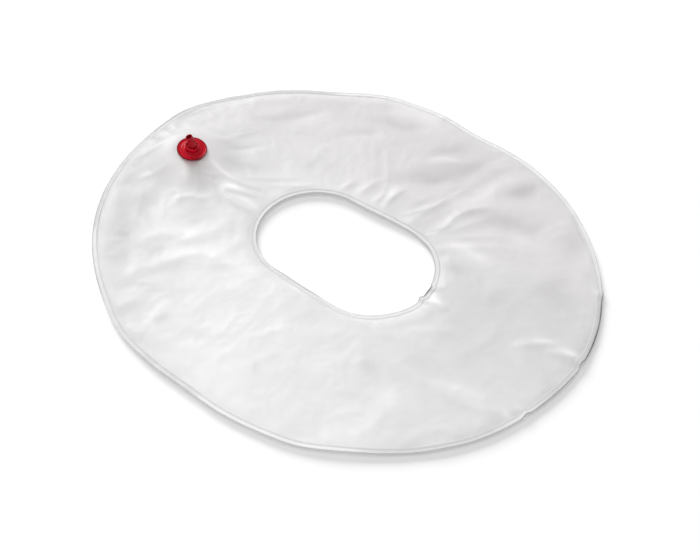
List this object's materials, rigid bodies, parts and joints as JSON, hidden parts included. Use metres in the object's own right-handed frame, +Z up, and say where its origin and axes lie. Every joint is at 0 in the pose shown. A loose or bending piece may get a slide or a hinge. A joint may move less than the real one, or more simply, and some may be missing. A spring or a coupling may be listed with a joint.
{
  "type": "wobble cushion",
  "caption": "Flat oval ring air cushion of clear vinyl film with an oblong hole and a red screw valve whose nozzle turns and lifts to let air in or out.",
  "frame": {"origin": "on the table, under the middle of the oblong hole", "axes": "+X along the ring's length, away from the valve; +Y across its width; +Z up, out of the upper film"},
  "size_m": [0.44, 0.375, 0.0359],
  "materials": {
    "clear_film": "soft gloss vinyl film, clear with a slight haze",
    "weld": "pressed and fused vinyl, glossy",
    "red_plastic": "glossy moulded plastic, deep red, slightly translucent",
    "gasket": "soft clear vinyl washer",
    "black_rubber": "matt black rubber",
    "white_plastic": "white moulded plastic"
  },
  "bodies": {
    "cushion": {"upper_film": "clear_film", "lower_film": "clear_film", "outer_weld": "weld", "inner_weld": "weld", "valve_body": "red_plastic", "backing_nut": "red_plastic", "seat_plug": "red_plastic", "upper_gasket": "gasket", "lower_gasket": "gasket"},
    "seal": {"seal_washer": "black_rubber", "washer_stud": "white_plastic"},
    "nozzle": {"nozzle": "red_plastic", "nozzle_o_ring": "black_rubber"}
  },
  "joints": [
    {"name": "nozzle_rise", "type": "slide", "parent": "cushion", "child": "seal", "axis": [0.1512, 0.0053, 0.9885], "range_m": [0, 0.003]},
    {"name": "nozzle_turn", "type": "hinge", "parent": "seal", "child": "nozzle", "pos_m": [-0.1675, 0.0028, 0.018], "axis": [0.1512, 0.0053, 0.9885], "range_deg": [0, 360]}
  ],
  "couplings": [
    {"joint": "nozzle_rise", "follows": "nozzle_turn", "m_per_rad": 0.00047746}
  ]
}
